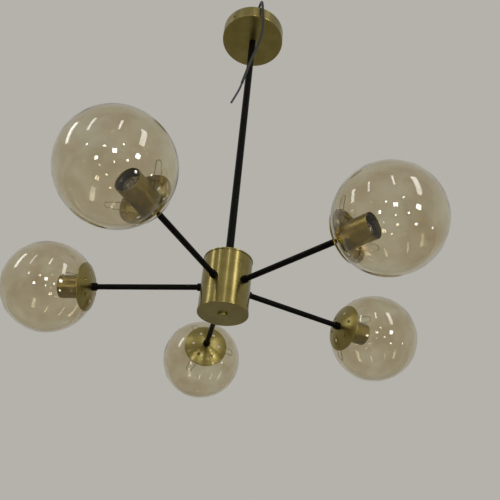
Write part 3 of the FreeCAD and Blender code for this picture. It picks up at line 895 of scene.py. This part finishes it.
# ---------------------------------------------------------------- studio
CAMERA_PLACE = Vector((-90.05, -814.15, -1104.91))
CAMERA_YAW = math.radians(8.926)
CAMERA_PITCH = math.radians(31.724)
CAMERA_ROLL = math.radians(4.88)
FOCAL_PIXELS = 601.05
PHOTO_SIDE = 500
PHOTO_CENTRE = (250.5, 273.8)
WALL = "B4B2AB"
# direction round the hub, height above it in degrees, and side in metres
SPARKS = [(264, -10, 0.26), (275, 3, 0.10), (287, -19, 0.13), (301, -5, 0.30), (249, -4, 0.12),
          (236, -21, 0.20), (339, -13, 0.09), (266, -27, 0.09), (309, -29, 0.16), (223, 1, 0.08)]
SPARK_DISTANCE = 2.2
SPARK_RADIANCE = 22.0
FLOOR_Z = -2400.0


def make_camera():
    """The photograph's viewpoint, below the hub and in front of it."""
    data = bpy.data.cameras.new("photo_camera")
    data.sensor_width = 36.0
    data.lens = FOCAL_PIXELS / PHOTO_SIDE * data.sensor_width
    data.shift_x = (PHOTO_SIDE / 2 - PHOTO_CENTRE[0]) / PHOTO_SIDE
    data.shift_y = (PHOTO_CENTRE[1] - PHOTO_SIDE / 2) / PHOTO_SIDE
    camera = bpy.data.objects.new("photo_camera", data)
    scene.collection.objects.link(camera)
    ahead = Vector((math.sin(CAMERA_YAW) * math.cos(CAMERA_PITCH),
                    math.cos(CAMERA_YAW) * math.cos(CAMERA_PITCH), math.sin(CAMERA_PITCH)))
    right = Vector((math.cos(CAMERA_YAW), -math.sin(CAMERA_YAW), 0))
    above = right.cross(ahead)
    tilted_right = right * math.cos(CAMERA_ROLL) + above * math.sin(CAMERA_ROLL)
    tilted_above = above * math.cos(CAMERA_ROLL) - right * math.sin(CAMERA_ROLL)
    axes = Matrix((tilted_right, tilted_above, -ahead)).transposed().to_4x4()
    camera.matrix_world = Matrix.Translation(CAMERA_PLACE * MM) @ axes
    scene.camera = camera


def soft_box(name, azimuth, elevation, distance, width, height, radiance):
    """A soft rectangular lamp that faces the hub from a distance in metres."""
    data = bpy.data.lights.new(name, "AREA")
    data.shape = "RECTANGLE"
    data.size = width
    data.size_y = height
    data.energy = radiance * math.pi * width * height
    lamp = bpy.data.objects.new(name, data)
    scene.collection.objects.link(lamp)
    turn, rise = math.radians(azimuth), math.radians(elevation)
    outward = Vector((math.cos(turn) * math.cos(rise), math.sin(turn) * math.cos(rise),
                      math.sin(rise)))
    target = Vector((0, 0, ARM_Z * MM))
    lamp.matrix_world = (Matrix.Translation(target + outward * distance)
                         @ outward.to_track_quat("Z", "Y").to_matrix().to_4x4())
    lamp.visible_camera = False


def make_studio():
    """Pale surroundings, a pale floor, four soft lamps and a ring of small ones."""
    scene.view_settings.view_transform = "Standard"
    world = bpy.data.worlds.new("studio")
    scene.world = world
    world.use_nodes = True
    tree = world.node_tree
    tree.nodes.clear()
    background = add(tree, "ShaderNodeBackground", {"Color": colour(WALL), "Strength": 1.0})
    output = add(tree, "ShaderNodeOutputWorld")
    tree.links.new(background.outputs["Background"], output.inputs["Surface"])
    half = 12.0
    floor = mesh_piece("studio_floor", [(x / MM, y / MM, FLOOR_Z) for x, y in (
        (-half, -half), (half, -half), (half, half), (-half, half))], [(0, 1, 2, 3)])
    material, tree, output = new_finish("painted_floor")
    finished(tree, output, {
        "Base Color": blended(tree, ranged(tree, grain(tree, 900), 0.0, 1.0), "C4C3BD", "CBCAC4"),
        "Roughness": 0.8,
    })
    floor.data.materials.append(material)
    soft_box("right_lamp", 302, 30, 2.4, 0.35, 1.3, 5.0)
    soft_box("left_lamp", 186, 30, 2.6, 0.3, 1.1, 4.5)
    soft_box("near_left_lamp", 219, 34, 2.6, 0.14, 1.0, 5.0)
    soft_box("front_lamp", 263, 38, 2.8, 0.14, 1.0, 6.0)
    # Small lamps add little light. The eye sees them as sparks in the glass and the brass.
    for number, (azimuth, elevation, size) in enumerate(SPARKS, start=1):
        soft_box("spark_lamp_%d" % number, azimuth, elevation, SPARK_DISTANCE, size, size,
                 SPARK_RADIANCE)


make_camera()
make_supply_lead()
make_ceiling_fittings()
make_hub()
make_arms()
make_studio()
